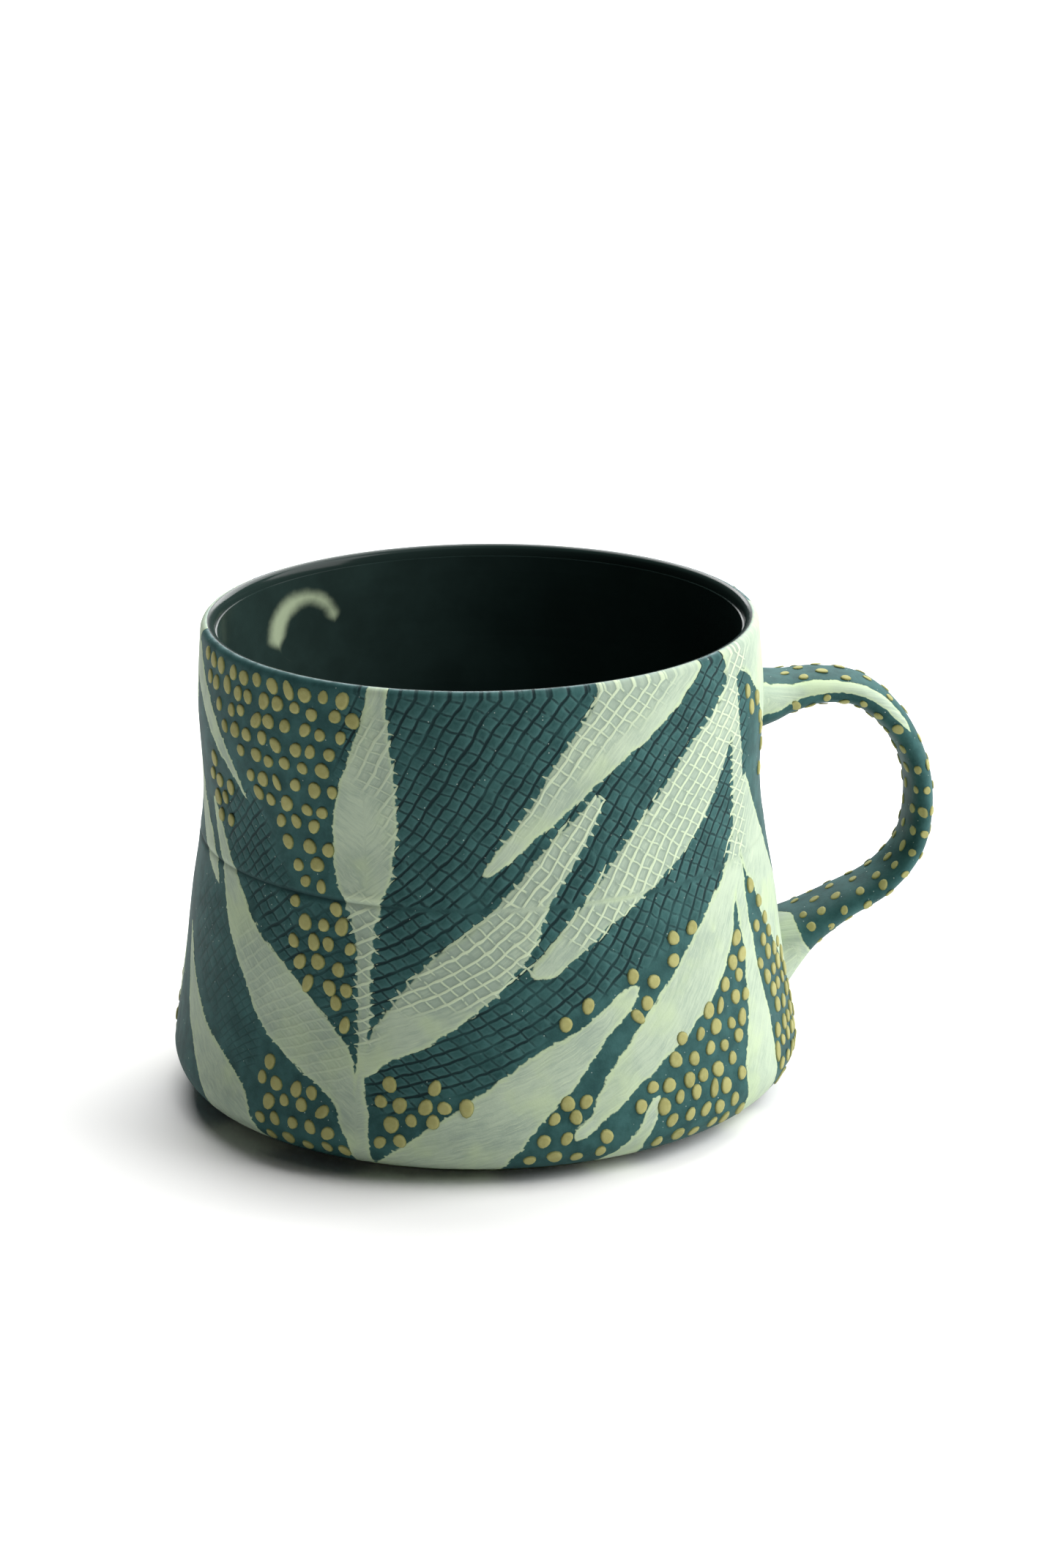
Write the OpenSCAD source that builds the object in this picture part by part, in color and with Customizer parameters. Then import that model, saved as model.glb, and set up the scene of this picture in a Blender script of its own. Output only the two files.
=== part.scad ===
// Hand-built stoneware mug: two slab bands stand on a floor slab, with a coil pressed into the inside
// corner, a low foot ring, a strap handle, a liner glaze and trailed slip dots.
// Millimetres. The origin is on the mug's axis, on the plane that the foot stands on.
// The handle points along +X.

/* [Body] */
// Outer diameter at the lip
lip_d = 90; // [84:0.5:96]
// Height from the foot plane to the lip
mug_h = 79.5; // [76:0.5:84]
// Thickness of the slabs that the walls are made of
wall_t = 3.2; // [2.6:0.1:3.8]
// Thickness of the lip, which is thinned by hand
lip_t = 2.2; // [1.8:0.1:2.6]
// Height of the join between the two wall bands
seam_z = 44.5; // [42:0.5:47]
// Depth of the groove left along that join
seam_groove = 0.25; // [0.1:0.05:0.5]

/* [Base] */
// Thickness of the floor slab
floor_t = 3.6; // [3:0.1:4.5]
// Radius of the coil's hollow face, in the corner between floor and wall
coil_r = 6; // [4:0.5:7]
// Height of the foot ring under the slab
foot_h = 1.2; // [1:0.1:1.8]
// Outer radius of the foot ring
foot_r = 43; // [42.5:0.25:43.5]
// Width of the foot ring
foot_w = 5; // [4:0.5:7]

/* [Handle] */
// Width of the strap at its middle
strap_w = 12.4; // [11:0.2:14]
// Thickness of the strap at its middle
strap_t = 4.8; // [4.2:0.1:5.6]

/* [Glaze and slip] */
// Thickness of the liner glaze
glaze_t = 0.3; // [0.2:0.05:0.5]
// Radius of an ordinary slip dot
dot_r = 1.2; // [0.9:0.05:1.35]
// Height of a slip dot above the clay
dot_h = 0.4; // [0.3:0.05:0.6]
// Height of a slip dot on the handle, where fingers would rub a taller one off
strap_dot_h = 0.28; // [0.2:0.02:0.4]

/* [Hidden] */
$fn = 96;

clay = [0.17, 0.33, 0.34];
slip = [0.66, 0.60, 0.36];
glaze = [0.04, 0.07, 0.06];
bare_clay = [0.62, 0.66, 0.52];

dot_seat = 0.03;        // a dot sinks this far into the clay
dot_top = 0.66;         // top radius of a dot over its foot radius
span_steps = 5;         // points drawn in each span of a curve
corner_steps = 8;
lip_steps = 6;

// Outer wall as [radius, height] stations, from the lip down to where the base corner starts.
lip_r = lip_d / 2;
belly = [51.2, 8.5];
upper_line = [[lip_r, mug_h], [lip_r + 0.8, mug_h - 13], [lip_r + 0.35, mug_h - 26], [lip_r + 1.05, seam_z]];
lower_line = [[lip_r + 1.05, seam_z], [47.65, 34.5], [48.8, 25], [50.35, 14.5], belly];
corner_in = [43.5, foot_h];   // where the base corner runs out flat
floor_top = foot_h + floor_t;

// Smooth curve through points p (Catmull-Rom), with its first and last points kept.
function blend(a, b, c, d, t) =
    0.5 * (2 * b + (c - a) * t + (2 * a - 5 * b + 4 * c - d) * t * t + (3 * b - a - 3 * c + d) * t * t * t);
function at(p, i) = p[max(0, min(len(p) - 1, i))];
function curve(p, n = span_steps) = concat(
    [for (i = [0 : len(p) - 2], k = [0 : n - 1]) blend(at(p, i - 1), p[i], p[i + 1], at(p, i + 2), k / n)],
    [p[len(p) - 1]]);

whole_line = curve(concat(upper_line, [for (i = [1 : len(lower_line) - 1]) lower_line[i]]));
seam_index = span_steps * (len(upper_line) - 1);
upper_outer = [for (i = [0 : seam_index]) whole_line[i]];
lower_outer = [for (i = [seam_index : len(whole_line) - 1]) whole_line[i]];

// Base corner from angle a to angle b: a quarter of an ellipse, level with the belly at 0, flat at 90.
function corner(a, b) = [for (k = [0 : corner_steps]) let (t = a + (b - a) * k / corner_steps)
    [corner_in.x + (belly.x - corner_in.x) * cos(t), belly.y - (belly.y - corner_in.y) * sin(t)]];
slab_edge = asin((belly.y - floor_top) / (belly.y - corner_in.y));   // where the wall stands on the slab
wall_corner = tail(corner(0, slab_edge));
slab_corner = corner(slab_edge, 90);

// Distance from the outer wall to the inner wall at height z: thin at the lip, full a little below it.
function thickness(z) = wall_t - (wall_t - lip_t) * pow(max(0, 1 - (mug_h - z) / 14), 2);
function inner(line) = [for (p = line) [p.x - thickness(p.y), p.y]];
function flip(line) = [for (i = [len(line) - 1 : -1 : 0]) line[i]];
function inset(line, d) = [for (p = line) [p.x - d, p.y]];
function tail(line) = [for (i = [1 : len(line) - 1]) line[i]];

// Round edge of the lip, from the outside over to the inside.
lip_edge_r = lip_t / 2;
lip_edge = [for (k = [0 : lip_steps]) let (a = 180 * k / lip_steps)
    [lip_r - lip_edge_r + lip_edge_r * cos(a), mug_h - lip_edge_r + lip_edge_r * sin(a)]];

// Face of the coil in the inside corner, from the wall down to the floor.
coil_z = floor_top + coil_r;
coil_x = belly.x - wall_t - 0.5 - coil_r;
coil_face = [for (k = [0 : corner_steps]) let (a = 90 * k / corner_steps)
    [coil_x + coil_r * cos(a), coil_z - coil_r * sin(a)]];

// Radius and slope of the outer wall at height z.
outer_line = concat(whole_line, tail(corner(0, 90)));
radius_table = [for (p = flip(outer_line)) [p.y, p.x]];
function wall_r(z) = lookup(z, radius_table);
function wall_slope(z) = atan((wall_r(z + 0.4) - wall_r(z - 0.4)) / 0.8);

module upper_wall() {
    color(clay) rotate_extrude() polygon(concat(
        [[lip_r + 1.05 - seam_groove, seam_z]],
        [for (p = flip(upper_outer)) if (p.y > seam_z + 0.5 && p.y < mug_h - lip_edge_r) p],
        lip_edge,
        [for (p = inner(upper_outer)) if (p.y < mug_h - lip_edge_r - 0.5) p]));
}

module lower_wall() {
    color(clay) rotate_extrude() polygon(concat(
        [[lip_r + 1.05 - seam_groove, seam_z]],
        [for (p = lower_outer) if (p.y < seam_z - 0.5) p],
        wall_corner,
        flip(inner(concat(lower_outer, wall_corner)))));
}

module floor_slab() {
    color(clay) rotate_extrude() polygon(concat(slab_corner, [[0, foot_h], [0, floor_top]]));
}

module corner_coil() {
    wall_side = [for (p = inner(concat(lower_outer, wall_corner))) if (p.y < coil_z - 0.1) p];
    color(clay) rotate_extrude() polygon(concat([[coil_x + coil_r, coil_z]], wall_side, flip(tail(coil_face))));
}

module foot_ring() {
    bevel = 0.4;
    color(bare_clay) rotate_extrude() polygon([
        [foot_r - foot_w, foot_h], [foot_r - foot_w, bevel], [foot_r - foot_w + bevel, 0],
        [foot_r - bevel, 0], [foot_r, bevel], [foot_r, foot_h]]);
}

// The glaze is a skin on the inner wall and floor, from just under the lip.
module liner_glaze() {
    wall = concat([for (p = inner(upper_outer)) if (p.y < mug_h - lip_edge_r - 0.5) p],
        [for (p = inner(lower_outer)) if (p.y < seam_z - 0.5 && p.y > coil_z + 0.5) p],
        coil_face);
    color(glaze) rotate_extrude() polygon(concat(
        wall, [[0, floor_top], [0, floor_top + glaze_t]],
        [for (p = flip(inset(wall, glaze_t))) [p.x, max(p.y, floor_top + glaze_t)]]));
}

// Strap handle: stations along its middle as [x, z, half width, half thickness], from the upper root
// round to the lower root. Both roots spread where the clay was pressed on to the wall.
half_w = strap_w / 2;
half_t = strap_t / 2;
strap_stations = [
    [42, 62.9, half_w + 4.2, half_t + 2.8], [46.8, 63.4, half_w + 2.6, half_t + 1.6],
    [50.5, 64, half_w + 1, half_t + 0.7], [56, 64.7, half_w + 0.2, half_t + 0.3],
    [62.6, 63.4, half_w, half_t + 0.1], [68.3, 58.3, half_w, half_t - 0.1],
    [71.9, 51, half_w, half_t - 0.3], [72.7, 43.5, half_w, half_t - 0.3],
    [71.1, 36.3, half_w, half_t - 0.3], [66.2, 30.7, half_w + 0.1, half_t - 0.1],
    [59.3, 27, half_w + 0.4, half_t + 0.1], [54, 24, half_w + 1.3, half_t + 0.8],
    [50.3, 21.6, half_w + 2.8, half_t + 2], [45.5, 17.9, half_w + 4.6, half_t + 3.8]];
strap_path = curve(strap_stations, 4);
strap_sides = 28;
strap_round = 2.15;     // exponent of the rounded section: 2 is an ellipse, more is squarer
strap_last = len(strap_path) - 1;

function unit(v) = v / norm(v);
function strap_dir(i) = let (d = at(strap_path, i + 1) - at(strap_path, i - 1)) unit([d.x, d.y]);
function strap_out(i) = let (t = strap_dir(i)) [-t.y, t.x];
function signed_pow(v, e) = sign(v) * pow(abs(v), e);
function strap_point(i, across, out) = let (p = strap_path[i], n = strap_out(i))
    [p.x + n.x * out, across, p.y + n.y * out];
function strap_ring(i) = [for (k = [0 : strap_sides - 1]) let (a = 360 * k / strap_sides)
    strap_point(i, strap_path[i][2] * signed_pow(cos(a), 2 / strap_round),
        strap_path[i][3] * signed_pow(sin(a), 2 / strap_round))];

module strap() {
    points = [for (i = [0 : strap_last]) each strap_ring(i)];
    sides = [for (i = [0 : strap_last - 1], k = [0 : strap_sides - 1])
        let (a = i * strap_sides + k, b = i * strap_sides + (k + 1) % strap_sides)
        each [[a, a + strap_sides, b + strap_sides], [a, b + strap_sides, b]]];
    start = [for (k = [0 : strap_sides - 1]) k];
    end = [for (k = [strap_sides - 1 : -1 : 0]) strap_last * strap_sides + k];
    polyhedron(points = points, faces = concat([start, end], sides));
}

module handle() {
    color(clay) difference() {
        strap();
        rotate_extrude() polygon(concat([[0, mug_h]], outer_line, [[0, foot_h]]));
    }
}

// One slip dot of height h at p, standing along n.
module dot(p, n, r, h) {
    turn = atan2(n.y, n.x);
    lean = acos(n.z / norm(n));
    translate(p) rotate([0, lean, turn]) translate([0, 0, -dot_seat])
        cylinder(h = h + dot_seat, r1 = r, r2 = r * dot_top, $fn = 24);
}

// Fields of dots on the wall as outlines of [angle, height]. They repeat on the other half of the mug.
upper_fields = [
    [[-176, 78], [-122.5, 78], [-125, 70], [-128.5, 62], [-130.5, 54], [-128, 45.5], [-140, 45.5],
     [-142, 51], [-147.5, 58.5], [-153, 61.5], [-160, 67], [-168, 73]],
    [[-171, 63.5], [-163, 61.5], [-157.5, 59], [-157.5, 48], [-165, 50]],
    [[-32, 73.5], [-18, 66], [-15, 55], [-19, 55], [-22, 64], [-31, 68]]];
lower_fields = [
    [[-139.5, 43.5], [-126, 43.5], [-124, 37], [-123.8, 21], [-126, 21.5], [-129, 29], [-133.5, 30.5],
     [-138, 35]],
    [[-145, 17], [-134, 17], [-128.5, 13.5], [-124.5, 9], [-124, 3.8], [-143.5, 3.8], [-144, 9]],
    [[-119.5, 17], [-101, 17], [-99, 14.2], [-105, 11], [-111, 7], [-117, 3.8], [-119.5, 3.8]],
    [[-80.5, 16.5], [-78.5, 14], [-83.5, 7], [-79.5, 6.5], [-71, 12.8], [-68.5, 11.5], [-76, 3.8],
     [-94, 3.8], [-90.5, 8.5], [-86, 13]],
    [[-69, 13.5], [-60, 20.5], [-50, 25.5], [-43.5, 33], [-38.5, 34], [-39.5, 22], [-43.5, 12],
     [-43.5, 3.8], [-67.5, 3.8], [-64, 12.5]],
    [[-34, 41], [-31.5, 41], [-27, 34], [-20, 27], [-12, 22], [-8, 14], [-8, 4], [-30, 4], [-29.8, 17],
     [-33, 28]]];
lower_strays = [[-83, 26], [-78.5, 28.5], [-69, 32], [-64.5, 30.5], [-59.5, 33], [-59, 36.5], [-54, 37.2],
    [-66.3, 27.3], [-68.5, 25.5]];       // single dots beside the leaves
field_turns = [0, 180];
row_gap = 3.1;          // height from one row of dots to the next
dot_gap = 3.6;          // distance from dot to dot along a row
stray = 0.9;            // how far a dot strays from its place

function noise(a, b) = let (v = sin(a * 127.1 + b * 311.7) * 4375.85) v - floor(v) - 0.5;
function is_left(p, a, b) = p.x < a.x + (b.x - a.x) * (p.y - a.y) / (b.y - a.y);
function crossings(p, f) = len([for (i = [0 : len(f) - 1]) let (a = f[i], b = f[(i + 1) % len(f)])
    if ((a.y > p.y) != (b.y > p.y) && is_left(p, a, b)) 1]);
function in_field(p, f) = crossings(p, f) % 2 == 1;

// One dot on the wall at angle a and height z.
module wall_dot(a, z, r) {
    s = wall_slope(z);
    dot([wall_r(z) * cos(a), wall_r(z) * sin(a), z], [cos(s) * cos(a), cos(s) * sin(a), -sin(s)],
        r, dot_h);
}

module wall_dots(fields) {
    for (f = fields, turn = field_turns) {
        low = min([for (p = f) p.y]);
        high = max([for (p = f) p.y]);
        left = min([for (p = f) p.x]);
        right = max([for (p = f) p.x]);
        rows = floor((high - low) / row_gap);
        for (j = [0 : rows]) {
            row_z = low + 0.8 + j * row_gap;
            step = dot_gap / wall_r(row_z) * 180 / PI;
            wander = stray / wall_r(row_z) * 180 / PI;
            for (i = [0 : ceil((right - left) / step)]) {
                a = left + (i + (j % 2) / 2) * step + wander * noise(i, j);
                z = row_z + stray * noise(i + 7, j + turn);
                if (in_field([a, z], f)) wall_dot(a + turn, z, dot_r * (1 + 0.3 * noise(i, j + 3)));
            }
        }
    }
}

module upper_dots() {
    color(slip) wall_dots(upper_fields);
}

module lower_dots() {
    color(slip) wall_dots(lower_fields);
    color(slip) for (p = lower_strays, turn = field_turns) wall_dot(p.x + turn, p.y, dot_r);
}

// A dot on the strap at station i, at angle a round its section: 0 is one edge and 90 the outer face.
module strap_dot(i, a, r) {
    w = strap_path[i][2];
    t = strap_path[i][3];
    across = signed_pow(cos(a), 2 / strap_round);
    out = signed_pow(sin(a), 2 / strap_round);
    across_n = signed_pow(across, strap_round - 1) / w;
    out_n = signed_pow(out, strap_round - 1) / t;
    n = strap_out(i);
    dot(strap_point(i, w * across, t * out), unit([n.x * out_n, across_n, n.y * out_n]), r,
        strap_dot_h);
}

// Rows of dots run round the strap, and leave room for the pale stripe on the shoulder of its outer face.
module handle_dots() {
    first = 8;
    last = strap_last - 8;
    stripe_end = 23;
    stripe = [128, 184];
    rows = [[14, 54, 98, 146, 196, 240, 284, 330], [34, 76, 120, 170, 218, 262, 306, 352]];
    color(slip) for (i = [first : 2 : last]) {
        for (a = rows[(i - first) / 2 % 2]) {
            turned = a + 12 * noise(i, a);
            if (i >= stripe_end || turned < stripe[0] || turned > stripe[1])
                strap_dot(i, turned, dot_r * (0.68 + 0.25 * noise(a, i)));
        }
    }
}

upper_wall();
lower_wall();
floor_slab();
corner_coil();
foot_ring();
handle();
liner_glaze();
upper_dots();
lower_dots();
handle_dots();
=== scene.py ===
"""Looks of the hand-built stoneware mug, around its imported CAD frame.

The wall bands, the floor slab, the handle and the slip dots get finished meshes with the impressed net,
the brushed leaves and the softened edges. The corner coil, the foot ring and the liner glaze keep their CAD
shape. Sizes inside this script are millimetres, as in the part's source, and MM turns them into metres. A
place on the wall is an angle (degrees from the handle, seen from above) and a height above the foot.
"""

import bpy
import numpy as np
from mathutils import Matrix, Vector


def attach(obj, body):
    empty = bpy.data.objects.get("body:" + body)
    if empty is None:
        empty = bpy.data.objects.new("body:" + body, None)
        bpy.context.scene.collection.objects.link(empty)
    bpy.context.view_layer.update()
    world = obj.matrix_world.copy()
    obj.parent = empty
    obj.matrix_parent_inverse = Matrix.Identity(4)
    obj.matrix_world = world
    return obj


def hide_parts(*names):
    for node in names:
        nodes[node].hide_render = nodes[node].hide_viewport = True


MM = 0.001
ROOT = "root"

# ---------------------------------------------------------------- body sizes, as in the part's source

LIP_R = 45.0
MUG_H = 79.5
WALL_T = 3.2
LIP_T = 2.2
SEAM_Z = 44.5
SEAM_GROOVE = 0.25
RELIEF_TOP = 0.12           # how far the pattern may stand out of the wall
FLOOR_TOP = 4.8
FOOT_H = 1.2
BELLY = (51.2, 8.5)
CORNER_IN = (43.5, 1.2)
OUTER_STATIONS = [(45, 79.5), (45.8, 66.5), (45.35, 53.5), (46.05, 44.5), (47.65, 34.5), (48.8, 25),
                  (50.35, 14.5), BELLY]
DOT_HEIGHT = 0.36
STRAP_DOT_HEIGHT = 0.25

AROUND = 880                # columns of a wall band, in steps of the same angle
MEAN_R = 47.0               # radius at which the wall is unrolled for the pattern
DEGREE = MEAN_R * np.pi / 180   # one degree of the unrolled wall
HALF_START = -190.0         # the pattern covers half a turn from here and is then repeated
NOISE_TURN = 6.28           # a full turn in radians, near enough for noise
SLAB_EDGE = np.degrees(np.arcsin((BELLY[1] - FLOOR_TOP) / (BELLY[1] - FOOT_H)))   # where the wall stands


def catmull(points, steps, closed=False):
    """Smooth curve through points: each span is the Catmull-Rom cubic of its four nearest points."""
    p = np.array(points, float)
    if closed:
        a, b, c, d = np.roll(p, 1, 0), p, np.roll(p, -1, 0), np.roll(p, -2, 0)
    else:
        a = np.vstack([p[:1], p[:-2]])
        b, c = p[:-1], p[1:]
        d = np.vstack([p[2:], p[-1:]])
    t = (np.arange(steps) / steps)[None, :, None]
    a, b, c, d = (q[:, None, :] for q in (a, b, c, d))
    out = 0.5 * (2 * b + (c - a) * t + (2 * a - 5 * b + 4 * c - d) * t ** 2
                 + (3 * b - a - 3 * c + d) * t ** 3)
    out = out.reshape(-1, p.shape[1])
    return out if closed else np.vstack([out, p[-1:]])


def base_corner(angle):
    """Quarter ellipse under the belly: level with the belly at 0 degrees, flat under the mug at 90."""
    a = np.radians(angle)
    return np.stack([CORNER_IN[0] + (BELLY[0] - CORNER_IN[0]) * np.cos(a),
                     BELLY[1] - (BELLY[1] - CORNER_IN[1]) * np.sin(a)], -1)


OUTER_LINE = np.vstack([catmull(OUTER_STATIONS, 8), base_corner(np.linspace(4, 90, 20))])


def wall_radius(z):
    """Radius of the outer wall at height z."""
    return np.interp(z, OUTER_LINE[::-1, 1], OUTER_LINE[::-1, 0])


def wall_thickness(z):
    """Full thickness low down, thinned towards the lip by the square of the height above a shoulder."""
    return WALL_T - (WALL_T - LIP_T) * np.maximum(0, 1 - (MUG_H - z) / 14) ** 2


def smooth(low, high, x):
    """0 below low, 1 above high, with the 3t^2 - 2t^3 ease between them."""
    t = np.clip((x - low) / (high - low), 0, 1)
    return t * t * (3 - 2 * t)


def ripple(u, v, size, seed):
    """Soft noise in -1..1: six sine waves of about the given size in hashed directions."""
    rng = np.random.default_rng(seed)
    turns, phases = rng.uniform(0, np.pi, 6), rng.uniform(0, NOISE_TURN, 6)
    total = 0
    for turn, phase, stretch in zip(turns, phases, rng.uniform(0.6, 1.5, 6)):
        total = total + np.sin((u * np.cos(turn) + v * np.sin(turn)) * NOISE_TURN / (size * stretch) + phase)
    return total / 3.5


# ---------------------------------------------------------------- the brushed leaves and the pressed net

# Outlines of the pale leaves as (angle, height), drawn on the half from -190 to -10 degrees.
LEAVES = {
    "bud": [(-120.5, 84), (-121.5, 76), (-124.5, 69), (-128, 61), (-129, 54), (-128.3, 48.5), (-126, 45),
            (-125.6, 43), (-119, 43), (-118.6, 45), (-116.6, 48.5), (-115.5, 54), (-115, 62), (-116, 69),
            (-117, 76), (-117, 84)],
    "stem": [(-125.3, 45), (-124.6, 42), (-123, 38.5), (-122.3, 30), (-122, 22), (-122.5, 16), (-123.5, 9),
             (-123, 0), (-120.3, 0), (-119.3, 9), (-120.3, 16), (-119.9, 26), (-119.8, 37), (-119.3, 42),
             (-118.8, 45)],
    "middle": [(-121.5, 20), (-119, 25), (-115, 29.7), (-108, 36.8), (-100, 41.5), (-93, 47), (-86, 53.5),
               (-79, 59), (-75, 61.5), (-75, 58), (-80, 51), (-85, 45), (-88.5, 38.5), (-95, 32),
               (-101, 27.5), (-109, 23), (-116, 20), (-120, 17.5)],
    "rim": [(-69, 84), (-76, 75.5), (-84, 67), (-90, 59), (-97, 52), (-97.5, 50), (-95, 50.5), (-90, 54),
            (-80, 60.5), (-70, 66.5), (-60, 71.2), (-51, 76.5), (-43, 84)],
    "long": [(-36, 77), (-42, 72), (-52, 67), (-60, 60.5), (-69, 52.8), (-78, 44.5), (-88, 36), (-88.5, 33.5),
             (-84, 34.2), (-74, 40), (-65, 44.2), (-55, 49), (-47, 54.5), (-42, 60.5), (-38, 66), (-35, 68)],
    "right stem": [(-39, 84), (-39.2, 75), (-38.3, 66), (-37.5, 61), (-36.3, 55), (-36.8, 49), (-40, 45),
                   (-37, 41), (-35, 42), (-34.5, 50), (-32, 56), (-33.5, 62), (-34.8, 68), (-35, 75),
                   (-33.5, 76), (-30, 84)],
    "low": [(-36, 49), (-43, 43), (-52, 37), (-60, 30.8), (-68, 24), (-75, 17.5), (-79, 11.5), (-82.3, 8.5),
            (-81, 7.5), (-75, 11), (-66, 16.3), (-56, 21.5), (-48, 26.5), (-42.5, 32.5), (-39.5, 38.5),
            (-35, 43)],
    "foot leaf": [(-120, 0), (-113, 7), (-104, 12.5), (-96, 17.5), (-88, 22), (-79, 25.5), (-71, 30),
                  (-68, 30.3), (-69, 27.5), (-75, 23), (-81, 16.8), (-88, 10.8), (-93, 5.5), (-99, 0)],
    "foot tip": [(-79, 0), (-72, 5.3), (-67, 11.5), (-65, 12), (-66.5, 8), (-68.5, 4), (-68.5, 0)],
    "flask": [(-36.5, 46), (-39.2, 37.5), (-38.3, 30), (-39.5, 20), (-42.5, 12), (-42.5, 5), (-41, 0),
              (-31, 0), (-30.8, 8), (-30.8, 17), (-33.3, 26), (-35, 36), (-34, 43)],
    "handle leaf": [(-34.5, 53), (-31, 57.5), (-26, 53), (-20, 46), (-14, 38.5), (-9, 32), (-5, 26), (-3, 19),
                    (-7, 15.5), (-15, 21), (-22, 27), (-28, 33), (-31, 39.5), (-34, 43)],
    "handle cap": [(-37, 84), (-35.5, 75), (-31, 75), (-25, 71), (-19, 65), (-12, 62), (-4, 63), (-2, 84)],
    "left long": [(-122, 17), (-124.5, 22), (-131, 27.3), (-139, 32.7), (-147, 37), (-155, 43), (-162, 49),
                  (-169, 54), (-167, 49.5), (-161.5, 43.5), (-157, 36), (-150, 28.5), (-144, 22),
                  (-135, 17.3), (-127, 13), (-123.5, 7), (-121, 4)],
    "left foot": [(-178, 31), (-171, 24), (-162, 18), (-153, 14.3), (-147, 10.5), (-145, 5), (-145, 0),
                  (-161, 0), (-161.5, 7), (-167, 13), (-173, 19)],
    "left rim": [(-189, 84), (-180, 78), (-170, 71.5), (-161, 65), (-155, 59.5), (-153, 56.8), (-158, 60),
                 (-167, 64.5), (-176, 70), (-189, 76)],
    "left edge": [(-187, 64), (-178, 54), (-168, 47), (-163, 41), (-169, 43), (-177, 48), (-187, 56)],
}

# Where the net was pressed into the dark clay: outline and strength.
NET_FIELDS = [
    ([(-121, 84), (-36, 84), (-31, 74), (-32, 46), (-38, 43), (-46, 40), (-56, 37), (-64, 34), (-74, 30.5),
      (-84, 26.5), (-90, 22), (-97, 17), (-104, 16), (-121, 17)], 1.0),
    ([(-150, 58), (-143, 50), (-140, 45), (-134, 33), (-124, 22), (-124, 44), (-131, 44), (-139, 44)], 0.5),
    ([(-160, 58), (-150, 58), (-143, 50), (-139, 44), (-133, 31), (-140, 34), (-150, 41), (-160, 48)], 0.8),
    ([(-170, 42), (-158, 36), (-145, 21), (-147, 14), (-160, 20), (-172, 30)], 0.3),
]

# Where the net shows as bright lines in the slip of the leaves: outline and strength.
LACE_FIELDS = [
    ([(-119, 29), (-108, 37), (-93, 48), (-74, 64), (-73, 57), (-85, 44), (-91, 32.5), (-104, 29)], 1.0),
    ([(-98, 54), (-88, 66), (-72, 84), (-52, 84), (-60, 75), (-72, 70), (-82, 63.5), (-92, 56)], 0.9),
    ([(-82, 43), (-60, 62), (-40, 76), (-31, 84), (-31, 50), (-38, 44), (-50, 50), (-62, 43), (-76, 37)],
     1.0),
    ([(-124, 73), (-114, 73), (-113, 50), (-117, 50), (-119, 62), (-123, 64)], 0.6),
    ([(-127, 44), (-117, 44), (-118, 24), (-124, 24)], 0.9),
    ([(-152, 38), (-140, 33), (-124, 23), (-126, 14), (-140, 20), (-150, 29)], 0.3),
]

# Lie of the net: (angle, height, slope of the strong lines, slope of the weak lines), slopes in degrees.
NET_LIE = [
    (-114, 77, 60, -12), (-112, 69, 66, -15), (-112, 61, 60, -18), (-113, 53, 50, -28), (-110, 47, 38, -45),
    (-100, 77, 50, -15), (-100, 69, 62, -22), (-100, 60, 58, -30), (-97, 49, 44, -44), (-88, 77, 44, -38),
    (-90, 68, 56, -35), (-86, 58, 60, -33), (-76, 74, 42, -40), (-84, 48, 56, -40), (-74, 56, 62, -35),
    (-68, 68, 46, -40), (-62, 60, 52, -36), (-58, 73, 38, -38), (-46, 76, 38, -30), (-50, 56, 48, -32),
    (-42, 66, 36, -25), (-38, 50, 42, -22), (-117, 41, 20, -45), (-117, 31, 22, -42), (-117, 21, 16, -40),
    (-105, 41, 28, -42), (-105, 32, 26, -40), (-105, 21, 18, -45), (-94, 40, 38, -42), (-94, 30, 28, -45),
    (-94, 22, 20, -45), (-84, 41, 54, -38), (-84, 33, 38, -42), (-82, 27, 26, -44), (-74, 44, 60, -33),
    (-74, 36, 48, -36), (-64, 43, 62, -30), (-62, 36, 56, -32), (-51, 43, 56, -28), (-128, 36, 25, -30),
    (-140, 42, 40, -40), (-150, 54, 45, -45), (-160, 40, 45, -40), (-178, 40, 45, -40), (-14, 50, 40, -25),
]
NET_MESH = 2.0              # distance between neighbouring lines
TRACE_ANGLE = 1.5           # grid on which the lines are followed, in degrees and mm
TRACE_HEIGHT = 1.2
TRACE_STEPS = 40
OUTLINE_REACH = 7.0         # distances from an outline are cut off here
LIE_REACH = 8.0             # how far a station of the lie is felt
UPPER_TRACE_Z = 60.0        # the lines of each band are counted along a height near its middle
LOWER_TRACE_Z = 36.0


def lie_slope(u, v, column):
    """Slope of a family of lines at (u, v): mean of the stations, weighted by a Gaussian of the distance."""
    total = np.zeros_like(u)
    weight = np.full_like(u, 1e-12)
    for station in NET_LIE:
        near = np.exp(-((u - station[0] * DEGREE) ** 2 + (v - station[1]) ** 2) / (2 * LIE_REACH ** 2))
        near = near + 1e-9
        total = total + near * station[column]
        weight = weight + near
    return np.radians(total / weight)


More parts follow.
